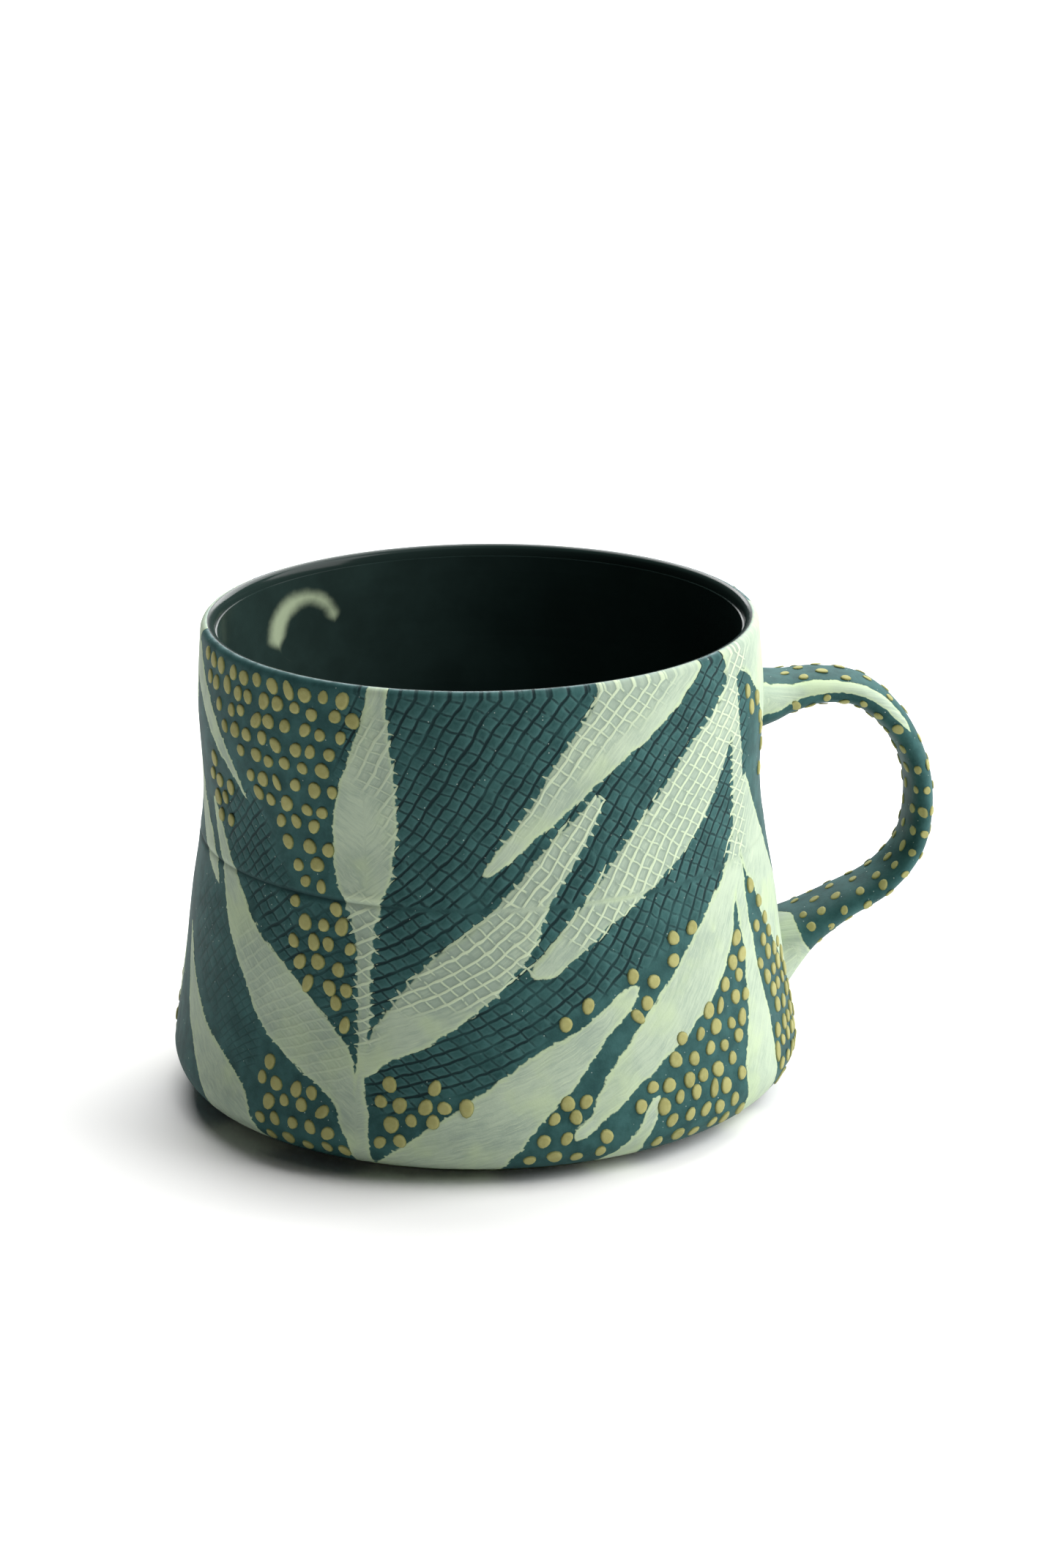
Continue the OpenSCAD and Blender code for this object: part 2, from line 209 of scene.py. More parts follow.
def net_phase(angle, height, column, trace_z):
    """Count of net lines at (angle, height), whole numbers lying on a line.

    A line is followed along its slope, in equal steps of height, from each point of a coarse grid to
    trace_z. The count there is the running sum of sin(slope) / mesh, and the grid is read bilinearly.
    """
    base = np.arange(-330.0, 150.0, 0.5)
    slope = lie_slope(base, np.full_like(base, trace_z), column)
    count = np.cumsum(np.sin(slope) / NET_MESH) * 0.5
    coarse_a = np.arange(HALF_START, HALF_START + 182, TRACE_ANGLE)
    coarse_z = np.arange(0.0, 84.1, TRACE_HEIGHT)
    u, v = np.meshgrid(coarse_a * DEGREE, coarse_z)
    rise = (trace_z - v) / TRACE_STEPS
    for _ in range(TRACE_STEPS):
        half = u + 0.5 * rise / np.tan(lie_slope(u, v, column))
        u = u + rise / np.tan(lie_slope(half, v + 0.5 * rise, column))
        v = v + rise
    grid = np.interp(u, base, count)
    x = np.clip((angle - coarse_a[0]) / TRACE_ANGLE, 0, len(coarse_a) - 1.001)
    y = np.clip(height / TRACE_HEIGHT, 0, len(coarse_z) - 1.001)
    i, j = x.astype(int), y.astype(int)
    x, y = x - i, y - j
    return (grid[j, i] * (1 - x) * (1 - y) + grid[j, i + 1] * x * (1 - y)
            + grid[j + 1, i] * (1 - x) * y + grid[j + 1, i + 1] * x * y)


def outline_distance(u, v, outline):
    """Signed distance in mm from a smoothed closed outline, below 0 inside it, cut off at OUTLINE_REACH."""
    line = catmull([(a * DEGREE, z) for a, z in outline], 5, closed=True)
    out = np.full(u.shape, OUTLINE_REACH)
    low, high = line.min(0) - OUTLINE_REACH, line.max(0) + OUTLINE_REACH
    near = (u > low[0]) & (u < high[0]) & (v > low[1]) & (v < high[1])
    px, py = u[near], v[near]
    best = np.full(px.shape, OUTLINE_REACH ** 2)
    inside = np.zeros(px.shape, bool)
    for a, b in zip(line, np.roll(line, -1, 0)):
        d = b - a
        t = np.clip(((px - a[0]) * d[0] + (py - a[1]) * d[1]) / max(d @ d, 1e-9), 0, 1)
        best = np.minimum(best, (px - a[0] - t * d[0]) ** 2 + (py - a[1] - t * d[1]) ** 2)
        if a[1] != b[1]:
            crosses = (a[1] > py) != (b[1] > py)
            inside ^= crosses & (px < a[0] + d[0] * (py - a[1]) / d[1])
    out[near] = np.where(inside, -1, 1) * np.sqrt(best)
    return out


def nearest_outline(angle, v, outlines):
    """Least signed distance from the outlines, each drawn half a turn on as well, on both sides."""
    nearest = np.full(angle.shape, OUTLINE_REACH)
    for outline in outlines:
        for turn in (-180.0, 0.0, 180.0):
            nearest = np.minimum(nearest, outline_distance((angle + turn) * DEGREE, v, outline))
    return nearest


def field_strength(angle, v, fields, softness):
    """Greatest strength of the fields at (angle, v), eased over softness mm at their outlines."""
    total = np.zeros(angle.shape)
    for outline, strength in fields:
        within = smooth(softness, -softness, nearest_outline(angle, v, [outline]))
        total = np.maximum(total, strength * within)
    return total


def decoration(angle, height):
    """Pattern at places on the wall.

    leaf is the distance from the leaves. strong and weak count the net's lines, and across and along are
    the same two, sorted to suit the brush marks. net, lace, join and collar are strengths, and thick is how
    thickly the slip lies.
    """
    a = (angle - HALF_START) % 180.0 + HALF_START
    u, v = a * DEGREE, height
    ends = smooth(HALF_START + 8, HALF_START + 14, a) * smooth(-12, -18, a)
    off_join = np.abs(height - SEAM_Z)
    left = u < -121.5 * DEGREE
    bud = nearest_outline(a, v, [LEAVES["bud"]])
    join_shows = 0.35 + 0.65 * smooth(-108, -122, a)
    counts = []
    for column, seed in ((2, 3), (3, 4)):
        upper = net_phase(a, height, column, UPPER_TRACE_Z)
        lower = net_phase(a, height, column, LOWER_TRACE_Z)
        knots = 0.09 * ripple(u, v, 7.0, seed) + 0.05 * ripple(u, v, 2.6, seed + 10)
        counts.append(np.where(height > SEAM_Z, upper, lower) + knots)
    return {
        "leaf": nearest_outline(a, v, LEAVES.values()) + 0.18 * ripple(u, v, 5.0, 8),
        "strong": counts[0],
        "weak": counts[1],
        "across": np.where(left, counts[1], counts[0]),
        "along": np.where(left, counts[0], counts[1]),
        "net": field_strength(a, v, NET_FIELDS, 1.2) * ends * smooth(0.1, 0.7, off_join),
        "lace": field_strength(a, v, LACE_FIELDS, 1.6) * smooth(0.1, 0.7, off_join),
        "thick": 0.5 + 0.5 * ripple(u, v, 16.0, 11),
        "join": np.exp(-((height - SEAM_Z) / 0.4) ** 2) * join_shows,
        "collar": np.exp(-((height - SEAM_Z - 0.9) / 0.45) ** 2) * smooth(0.4, -0.4, bud),
    }


def groove_depth(look):
    """Relief of the pattern in mm: net grooves in the clay, the leaves standing proud, fine ribs on them."""
    def ridge(count, width):
        off = np.abs((count + 0.5) % 1.0 - 0.5) * NET_MESH
        return np.exp(-(off / width) ** 2)

    on_leaf = smooth(0.25, -0.25, look["leaf"])
    net = np.maximum(ridge(look["strong"], 0.34), 0.75 * ridge(look["weak"], 0.28))
    shoulder = np.maximum(ridge(look["strong"], 0.62), 0.7 * ridge(look["weak"], 0.55))
    clay = look["net"] * (0.05 * shoulder - 0.24 * net)
    slip = 0.05 + 0.11 * look["lace"] * net
    return clay * (1 - on_leaf) + slip * on_leaf + 0.22 * look["collar"]


# ---------------------------------------------------------------- meshes

def mesh_piece(name, points, faces, attributes=None, sharp_angle=50):
    """Object from an array of points in mm and lists of faces, with one float attribute per name."""
    mesh = bpy.data.meshes.new(name)
    mesh.from_pydata((np.asarray(points).reshape(-1, 3) * MM).tolist(), [], faces)
    for key, values in (attributes or {}).items():
        layer = mesh.attributes.new(key, "FLOAT", "POINT")
        layer.data.foreach_set("value", np.asarray(values, np.float32).ravel())
    mesh.shade_smooth()
    mesh.set_sharp_from_angle(angle=np.radians(sharp_angle))
    piece = bpy.data.objects.new(name, mesh)
    bpy.context.scene.collection.objects.link(piece)
    return piece


def grid_faces(rows, columns, close_rows):
    """Quads of a grid whose rows run upwards outside the wall and whose columns run anticlockwise."""
    j = np.arange(rows if close_rows else rows - 1)
    j, i = np.meshgrid(j, np.arange(columns), indexing="ij")
    up, side = (j + 1) % rows, (i + 1) % columns
    quads = np.stack([j * columns + i, j * columns + side, up * columns + side, up * columns + i], -1)
    return quads.reshape(-1, 4)


def turned(radius, height, angle):
    """Points at radius and height (rows) turned to each angle in degrees (columns)."""
    a = np.radians(angle)
    return np.stack([radius * np.cos(a), radius * np.sin(a), np.broadcast_to(height, radius.shape)], -1)


def repeated_decoration(angle, height):
    """The pattern at each height (rows) and angle (columns): half a turn of it, laid twice."""
    a, z = np.meshgrid(angle[:len(angle) // 2], height)
    return {key: np.hstack([values, values]) for key, values in decoration(a, z).items()}


def band(name, outer_z, lip_rows, inner_z):
    """Closed wall band: rows up the outside with the pattern's relief, over a lip, and down the inside.

    The outer radius is wall_radius(z) + relief (RELIEF_TOP at most) - groove at the join - a slow hand-made
    unevenness, and the inner radius is wall_radius(z) - wall_thickness(z).
    """
    angle = np.arange(AROUND) * 360.0 / AROUND - 180.0
    look = repeated_decoration(angle, outer_z)
    a, z = np.meshgrid(angle, outer_z)
    uneven = 0.10 * (ripple(a * DEGREE, z * 1.5, 60.0, 21) * 0.5 - 0.5)
    uneven = uneven * smooth(0.0, 3.0, np.abs(z - SEAM_Z)) * smooth(0.0, 4.0, z - FLOOR_TOP)
    join = -SEAM_GROOVE * look["join"]
    relief = groove_depth(look) * smooth(0.0, 1.0, z - FLOOR_TOP)
    relief = relief * smooth(0.2, 1.8, MUG_H - z)
    outer = wall_radius(z) + np.minimum(relief, RELIEF_TOP) + join + uneven
    points = [turned(outer, z, angle)]
    inside = [np.zeros_like(z)]
    for r, h, dark in lip_rows:
        points.append(turned(np.full((1, AROUND), r), h, angle))
        inside.append(np.full((1, AROUND), dark))
    for h in inner_z:
        points.append(turned(np.full((1, AROUND), wall_radius(h) - wall_thickness(h)), h, angle))
        inside.append(np.ones((1, AROUND)))
    extra = len(lip_rows) + len(inner_z)
    look = {key: np.vstack([values, np.repeat(values[-1:], extra, 0)]) for key, values in look.items()}
    look["inside"] = np.vstack(inside)
    points = np.vstack([p.reshape(-1, AROUND, 3) for p in points])
    return mesh_piece(name, points, grid_faces(len(points), AROUND, True).tolist(), look)


def build_upper_band():
    """Upper band: from the join up to the rounded lip and back down inside to the join."""
    edge = LIP_T / 2
    outer_z = np.concatenate([[SEAM_Z], np.linspace(SEAM_Z + 0.2, MUG_H - edge, 93)])
    turn = np.radians([18, 36, 54, 72, 90, 112, 135, 160])
    lip = [(LIP_R - edge + edge * np.cos(t), MUG_H - edge + edge * np.sin(t), float(smooth(1.05, 1.7, t)))
           for t in turn]
    inner_z = [MUG_H - edge - 1.0, 72.0, 62.0, 53.0, SEAM_Z]
    return band("upper_band", outer_z, lip, inner_z)


def build_lower_band():
    """Lower band: from the slab up over the belly to the join and down inside."""
    corner = base_corner(np.linspace(SLAB_EDGE, 0, 9))
    outer_z = np.concatenate([corner[:, 1], np.linspace(BELLY[1] + 0.4, SEAM_Z - 0.2, 94), [SEAM_Z]])
    return band("lower_band", outer_z, [], [SEAM_Z, 30.0, 16.0, 9.0, FLOOR_TOP])


def build_slab():
    """Floor slab: the pattern runs on round its edge and stops under the foot ring, and the clay inside the
    ring is bare. Level top and bottom, closed at the centre."""
    edge = base_corner(np.linspace(88, SLAB_EDGE, 14))
    angle = np.arange(AROUND // 2) * 720.0 / AROUND - 180.0
    look = repeated_decoration(angle, edge[:, 1])
    rings = [turned(np.full((1, len(angle)), r), h, angle) for r, h in
             [(12.0, FOOT_H), (37.0, FOOT_H)] + [tuple(p) for p in edge]
             + [(44.0, FLOOR_TOP), (12.0, FLOOR_TOP)]]
    points = np.vstack(rings)
    rows = len(points)
    look = {key: np.vstack([values[:1], values[:1], values, values[-1:], values[-1:]])
            for key, values in look.items()}
    look["inside"] = np.zeros((rows, len(angle)))
    look["bare"] = np.repeat([1.0, 1.0] + [0.0] * (rows - 2), len(angle))
    faces = grid_faces(rows, len(angle), False).tolist()
    faces.append(list(range(len(angle)))[::-1])
    faces.append([(rows - 1) * len(angle) + i for i in range(len(angle))])
    return mesh_piece("floor_disc", points, faces, look)


# ---------------------------------------------------------------- handle

HALF_W = 6.2
HALF_T = 2.4
STRAP_ROUND = 2.15          # exponent of the rounded section: 2 is an ellipse, more is squarer
STRAP_STATIONS = [(42, 62.9, 4.2, 2.8), (46.8, 63.4, 2.6, 1.6), (50.5, 64, 1, 0.7), (56, 64.7, 0.2, 0.3),
                  (62.6, 63.4, 0, 0.1), (68.3, 58.3, 0, -0.1), (71.9, 51, 0, -0.3), (72.7, 43.5, 0, -0.3),
                  (71.1, 36.3, 0, -0.3), (66.2, 30.7, 0.1, -0.1), (59.3, 27, 0.4, 0.1), (54, 24, 1.3, 0.8),
                  (50.3, 21.6, 2.8, 2), (45.5, 17.9, 4.6, 3.8)]
STRIPE_AT = 155             # degrees round the section: the near shoulder of the outer face


def build_strap():
    """Handle: a superellipse section, across = w sign(cos a)|cos a|^(2/n) and
    out = t sign(sin a)|sin a|^(2/n), carried along the smooth curve through the stations, with slow thumb
    marks in its thickness."""
    sides = 96
    line = catmull(STRAP_STATIONS, 18)
    x, z = line[:, 0:1], line[:, 1:2]
    along = np.gradient(line[:, :2], axis=0)
    along /= np.linalg.norm(along, axis=1, keepdims=True)
    length = np.concatenate([[0], np.cumsum(np.hypot(*np.diff(line[:, :2], axis=0).T))])[:, None]
    a = (np.arange(sides) * 2 * np.pi / sides)[None, :]
    marks = 1 - 0.05 * (0.5 + 0.5 * ripple(length + 0 * a, 3.0 * np.cos(a) + 0 * length, 16.0, 31))
    across = (HALF_W + line[:, 2:3]) * np.sign(np.cos(a)) * np.abs(np.cos(a)) ** (2 / STRAP_ROUND)
    out = (HALF_T + line[:, 3:4]) * marks * np.sign(np.sin(a)) * np.abs(np.sin(a)) ** (2 / STRAP_ROUND)
    out_x, out_z = -along[:, 1:2], along[:, 0:1]
    across = across * (1 - 0.02 * ripple(length + 0 * a, 0 * length + a, 20.0, 33))
    points = np.stack([x + out_x * out, across, z + out_z * out], -1)
    rows = len(line)
    faces = grid_faces(rows, sides, False)[:, ::-1].tolist()
    faces.append(list(range(sides)))
    faces.append([(rows - 1) * sides + k for k in range(sides)][::-1])
    share = length / length[-1]
    look = decoration(np.degrees(np.arctan2(points[..., 1], points[..., 0])), points[..., 2])
    off_stripe = np.abs(np.degrees(a) - STRIPE_AT) * 0.08
    stripe_half = 1.75 + 0.9 * smooth(0.13, 0.05, share) - 0.5 * smooth(0.22, 0.36, share)
    look["stripe"] = off_stripe - stripe_half + 5.0 * smooth(0.33, 0.44, share)
    for key in ("inside", "net", "lace", "join", "collar"):
        look[key] = np.zeros(points.shape[:2])
    off_wall = np.hypot(points[..., 0], points[..., 1]) - wall_radius(points[..., 2])
    leaf_edge = (points[..., 2] + 2.6 * off_wall - 32.5) * 0.5 + 1.2 * np.maximum(points[..., 1] + 2.0, 0)
    look["leaf"] = np.where(points[..., 2] > 45, 5.0, np.minimum(leaf_edge, 5.0))
    return mesh_piece("strap", points, faces, look, 60)


# ---------------------------------------------------------------- slip dots

def dot_seats(node):
    """Centre, outward direction and foot radius of each dot of a CAD node, from its loose triangles.

    Points that coincide are joined, each group of linked triangles is one dot, its smallest spread is its
    direction, and the wider of its two rings is its foot.
    """
    mesh = node.data
    points = np.empty(len(mesh.vertices) * 3, np.float32)
    mesh.vertices.foreach_get("co", points)
    points = points.reshape(-1, 3).astype(float) / MM
    corners = np.empty(len(mesh.loops), np.int32)
    mesh.loops.foreach_get("vertex_index", corners)
    places, index = np.unique(np.round(points, 3), axis=0, return_inverse=True)
    triangles = index.ravel()[corners].reshape(-1, 3)
    label = np.arange(len(places))
    while True:
        lowest = label[triangles].min(1)
        new = label.copy()
        np.minimum.at(new, triangles.ravel(), np.repeat(lowest, 3))
        if (new == label).all():
            break
        label = new
    seats = []
    for group in np.unique(label):
        p = places[label == group]
        centre = p.mean(0)
        direction = np.linalg.svd(p - centre)[2][2]
        height = (p - centre) @ direction
        radius = np.linalg.norm(p - centre - height[:, None] * direction, axis=1)
        top = height > 0
        if radius[top].mean() > radius[~top].mean():
            direction, top = -direction, ~top
        height = (p - centre) @ direction
        seats.append((centre + direction * height.min(), direction, radius[~top].max()))
    return seats


def build_dots(name, node, seed, tall):
    """Soft blobs on the seats of a CAD node. A ring of a blob is radius * spread * (1 + uneven sine) and the
    crown sinks a little where the slip dried. A blob is a little longer up the wall than across it, and one
    in 25 is drawn out."""
    rng = np.random.default_rng(seed)
    sides = 12
    a = np.arange(sides) * 2 * np.pi / sides
    rings = [(1.0, -0.02), (0.96, 0.4 * tall), (0.80, 0.8 * tall), (0.50, tall)]
    points, faces, rim, shade = [], [], [], []
    for centre, direction, radius in dot_seats(node):
        side = np.cross(direction, (0.0, 0.0, 1.0) if abs(direction[2]) < 0.9 else (1.0, 0.0, 0.0))
        side /= np.linalg.norm(side)
        up = np.cross(side, direction)
        drawn_out = rng.uniform() < 0.04
        long = rng.uniform(1.25, 1.45) if drawn_out else rng.uniform(1.0, 1.12)
        turn = rng.uniform(0.25, 0.75) * np.pi
        uneven = (1 + 0.06 * np.sin(2 * a + rng.uniform(0, NOISE_TURN))
                  + 0.04 * np.sin(3 * a + rng.uniform(0, NOISE_TURN)))
        level = rng.uniform(0.75, 1.0)
        first = len(points) * (len(rings) * sides + 1)
        blob = []
        for spread, height in rings:
            e = radius * spread * uneven * np.cos(a - turn) * long
            f = radius * spread * uneven * np.sin(a - turn) / long
            x, y = e * np.cos(turn) - f * np.sin(turn), e * np.sin(turn) + f * np.cos(turn)
            blob.append(centre + x[:, None] * side + y[:, None] * up + height * level * direction)
        blob.append((centre + (tall - 0.08) * level * direction)[None])
        points.append(np.vstack(blob))
        quads = grid_faces(len(rings), sides, False) + first
        faces.extend(quads.tolist())
        last = first + (len(rings) - 1) * sides
        tip = first + len(rings) * sides
        faces.extend([last + k, last + (k + 1) % sides, tip] for k in range(sides))
        faces.append([first + k for k in range(sides)][::-1])
        # rim: 1 at a dot's foot, where its painted shade goes
        rim.append(np.concatenate([np.repeat([1.0, 0.85, 0.3, 0.0], sides), [0.0]]))
        shade.append(np.full(len(rings) * sides + 1, rng.uniform(0, 1)))
    look = {"rim": np.concatenate(rim), "shade": np.concatenate(shade)}
    return mesh_piece(name, np.vstack(points), faces, look, 80)


# ---------------------------------------------------------------- materials

class Value:
    """A socket of a material. Arithmetic on it adds Math nodes to the material."""

    def __init__(self, recipe, socket):
        self.recipe, self.socket = recipe, socket

    def _math(self, operation, *others):
        return self.recipe.math(operation, self, *others)

    def __add__(self, other):
        return self._math("ADD", other)

    def __mul__(self, other):
        return self._math("MULTIPLY", other)

    def __sub__(self, other):
        return self._math("SUBTRACT", other)

    def __rsub__(self, other):
        return self.recipe.math("SUBTRACT", other, self)

    def __truediv__(self, other):
        return self._math("DIVIDE", other)

    __radd__ = __add__
    __rmul__ = __mul__


class Recipe:
    """One material: its tree, its Principled shader, and short ways to add nodes."""

    def __init__(self, name, roughness=0.7, specular=0.35):
        self.material = bpy.data.materials.new(name)
        self.material.use_nodes = True
        self.tree = self.material.node_tree
        self.tree.nodes.clear()
        self.shader = self.tree.nodes.new("ShaderNodeBsdfPrincipled")
        output = self.tree.nodes.new("ShaderNodeOutputMaterial")
        self.tree.links.new(self.shader.outputs[0], output.inputs["Surface"])
        self.shader.inputs["Roughness"].default_value = roughness
        self.shader.inputs["Specular IOR Level"].default_value = specular
        self.place = self.node("ShaderNodeTexCoord").outputs["Object"]

    def node(self, kind, settings=None, **inputs):
        """Adds a node, makes its settings, then fills or links its sockets by name or by number (as _0)."""
        made = self.tree.nodes.new(kind)
        for key, value in (settings or {}).items():
            setattr(made, key, value)
        for key, value in inputs.items():
            socket = made.inputs[int(key[1:])] if key[1:].isdigit() else made.inputs[key.replace("_", " ")]
            self.fill(socket, value)
        return made

    def fill(self, socket, value):
        if isinstance(value, Value):
            value = value.socket
        if isinstance(value, bpy.types.NodeSocket):
            self.tree.links.new(value, socket)
        elif isinstance(value, (tuple, list)) and len(value) == 3 and socket.type == "RGBA":
            socket.default_value = (*value, 1.0)
        else:
            socket.default_value = value

    def math(self, operation, *values):
        sockets = {f"_{k}": value for k, value in enumerate(values)}
        made = self.node("ShaderNodeMath", {"operation": operation}, **sockets)
        return Value(self, made.outputs[0])

    def layer(self, name):
        """A float attribute of the mesh."""
        return Value(self, self.node("ShaderNodeAttribute", {"attribute_name": name}).outputs["Fac"])

    def ease(self, value, low, high, start=0.0, end=1.0):
        """Smooth step from start at low to end at high."""
        made = self.node("ShaderNodeMapRange", {"interpolation_type": "SMOOTHSTEP"},
                         _0=value, _1=low, _2=high, _3=start, _4=end)
        return Value(self, made.outputs[0])

    def noise(self, scale, detail=3.0, rough=0.55, place=None):
        """Noise in 0..1 with features of about 1 / scale metres."""
        made = self.node("ShaderNodeTexNoise", Vector=place or self.place, Scale=scale, Detail=detail,
                         Roughness=rough)
        return Value(self, made.outputs["Fac"])

    def vector(self, x, y, z):
        return self.node("ShaderNodeCombineXYZ", X=x, Y=y, Z=z).outputs[0]

    def blend(self, share, first, second):
        """Colour mix: first where share is 0 and second where it is 1."""
        made = self.node("ShaderNodeMix", {"data_type": "RGBA"}, _0=share, _6=first, _7=second)
        return made.outputs[2]

    def finish(self, colour, roughness=None, height=None, strength=1.0, depth=0.0002):
        """Links the colour, and where given the roughness and a bump made of a height in 0..1."""
        self.fill(self.shader.inputs["Base Color"], colour)
        if roughness is not None:
            self.fill(self.shader.inputs["Roughness"], roughness)
        if height is not None:
            bump = self.node("ShaderNodeBump", Height=height, Strength=strength, Distance=depth)
            self.fill(self.shader.inputs["Normal"], bump.outputs[0])
        return self.material


def net_line(recipe, count, inner, outer):
    """1 on a line of the net and 0 between lines, from the distance in mm to the nearest whole count."""
    off = recipe.math("PINGPONG", count, 0.5) * NET_MESH
    return recipe.ease(off, inner, outer, 1.0, 0.0)


TEAL_DEEP = (0.015, 0.054, 0.053)
TEAL = (0.031, 0.094, 0.091)
# near-black: the deeper glaze in the net grooves and the join, and painted shade in them
TEAL_GROOVE_GLAZE_AND_SHADE = (0.005, 0.016, 0.018)
# paler teal: random grain, and painted highlight on the shoulders beside the net grooves
TEAL_PALE_AND_SHOULDER_HIGHLIGHT = (0.060, 0.145, 0.137)
SLIP_SHADE = (0.205, 0.270, 0.215)
SLIP_THIN = (0.275, 0.345, 0.275)
SLIP = (0.385, 0.465, 0.350)
SLIP_RICH = (0.430, 0.530, 0.310)
SLIP_RIB = (0.480, 0.565, 0.390)
GLAZE = (0.014, 0.026, 0.023)
GLAZE_CLOUD = (0.020, 0.038, 0.034)
SPECK = (0.45, 0.53, 0.48)
LIP_TOP_PALE = (0.20, 0.29, 0.30)
BARE_DARK = (0.25, 0.28, 0.21)
BARE_PALE = (0.36, 0.39, 0.29)
OCHRE_DARK = (0.245, 0.238, 0.085)
OCHRE = (0.310, 0.300, 0.115)
OCHRE_PALE = (0.36, 0.355, 0.150)
OCHRE_FOOT_SHADE = (0.105, 0.130, 0.042)
ARCH_SLIP = (0.42, 0.50, 0.33)
SAND = (0.22, 0.24, 0.18)
ARCH_ANGLE, ARCH_Z, ARCH_R = 126.0, 68.6, 5.5     # a pale brushed arch on the inside wall, degrees and mm
LINER_R = 42.0              # radius of the inside wall at the arch


def painted_clay(name, with_stripe=False):
    """Matte teal clay with the dark net grooves, white specks and the pale leaves brushed over it. Painted
    shade lies in the grooves and the join, and painted highlight on the groove shoulders.
    """
    m = Recipe(name, specular=0.10)
    drift = m.noise(260.0, 4.0, 0.6)
    grain = m.noise(2600.0, 3.0, 0.7)
    waver = m.noise(420.0, 2.0, 0.5) - 0.5
    strong = m.layer("strong") + waver * 0.10
    weak = m.layer("weak") - waver * 0.10
    fine_strong = net_line(m, strong, 0.10, 0.34)
    fine_weak = net_line(m, weak, 0.05, 0.26)
    net_break = m.ease(m.noise(700.0, 2.0, 0.6), 0.28, 0.52)
    lines = m.math("MAXIMUM", fine_strong, fine_weak * 0.8 * net_break)
    net = m.layer("net") * (0.55 + 0.45 * m.ease(m.noise(160.0, 2.0, 0.5), 0.30, 0.55))
    lace = m.layer("lace")

    spikes = m.math("MAXIMUM", net_line(m, strong, 0.0, 0.36), net_line(m, weak, 0.0, 0.36))
    feather = m.noise(1500.0, 3.0, 0.65) - 0.5
    reach = m.ease(m.noise(520.0, 2.0, 0.5), 0.35, 0.65, 0.35, 1.25)
    edge = m.layer("leaf") - reach * spikes * (0.25 + 0.75 * lace) + feather * 0.6
    if with_stripe:
        stripe = m.layer("stripe") + (m.noise(500.0, 3.0, 0.6) - 0.5) * 1.6
        edge = m.math("MINIMUM", edge, stripe)
    leaf = m.ease(edge, -0.16, 0.10, 1.0, 0.0)

    clay = m.blend(m.ease(drift, 0.30, 0.70), TEAL_DEEP, TEAL)
    clay = m.blend((grain - 0.4) * 0.4, clay, TEAL_PALE_AND_SHOULDER_HIGHLIGHT)
    # band beside the net lines: painted highlight on the clay's shoulders, painted shade on the slip next to
    # the bright ribs
    beside_lines_light_and_shade = m.math("MAXIMUM", net_line(m, strong, 0.30, 0.75), net_line(m, weak, 0.25, 0.65)) * (1.0 - lines)
    # painted highlight on the raised shoulders beside the grooves
    clay = m.blend(beside_lines_light_and_shade * net * 0.35, clay, TEAL_PALE_AND_SHOULDER_HIGHLIGHT)
    # painted shade, with the deeper glaze, in the net grooves
    clay = m.blend(lines * net * 0.92, clay, TEAL_GROOVE_GLAZE_AND_SHADE)
    join = m.layer("join")
    # painted shade, with the deeper glaze, in the groove of the join
    clay = m.blend(join * 0.6, clay, TEAL_GROOVE_GLAZE_AND_SHADE)
    speck = m.node("ShaderNodeTexVoronoi", Vector=m.place, Scale=1200.0)
    chance = m.node("ShaderNodeSeparateColor", Color=speck.outputs["Color"]).outputs[0]
    speck = m.ease(Value(m, speck.outputs["Distance"]), 0.07, 0.15, 1.0, 0.0)
    speck = speck * m.ease(Value(m, chance), 0.84, 0.88)
    clay = m.blend(speck * 0.7, clay, SPECK)

    across, along = m.layer("across"), m.layer("along")
    streaks = m.noise(1.9, 5.0, 0.72, m.vector(across * 2.0, along * 0.20, 0.0))
    hairs = m.noise(3.4, 3.0, 0.6, m.vector(across * 2.6, along * 0.16, 4.0))
    body = m.noise(300.0, 4.0, 0.65)
    cover = m.ease(body * 0.35 + streaks * 0.75 + m.layer("thick") * 0.2 - lace * 0.12, 0.46, 0.80)
    slip = m.blend(cover, SLIP_THIN, SLIP)
    slip = m.blend(m.ease(hairs, 0.56, 0.68) * (1.0 - lace) * 0.5, slip, SLIP_RIB)
    slip = m.blend(m.ease(m.noise(120.0, 3.0, 0.5), 0.48, 0.70) * (1.0 - lace) * 0.5, slip, SLIP_RICH)
    # painted shade on the slip next to the raised bright ribs
    slip = m.blend(beside_lines_light_and_shade * lace * 0.55, slip, SLIP_SHADE)
    slip = m.blend(m.ease(lines, 0.25, 0.9) * lace * 0.95, slip, SLIP_RIB)
    near_edge = m.ease(edge, -0.9, -0.1)
    slip = m.blend(near_edge * 0.6 * (1.0 - lace * 0.6), slip, SLIP_RICH)
    # painted shade on the slip in the groove of the join
    slip = m.blend(join * 0.5, slip, SLIP_SHADE)
    slip = m.blend(m.layer("collar") * 0.8, slip, SLIP_RIB)

    colour = m.blend(leaf, clay, slip)
    bare = m.ease(m.layer("bare"), 0.2, 0.5)
    colour = m.blend(bare, colour, m.blend(m.ease(grain, 0.35, 0.65), BARE_DARK, BARE_PALE))
    inside = m.layer("inside")
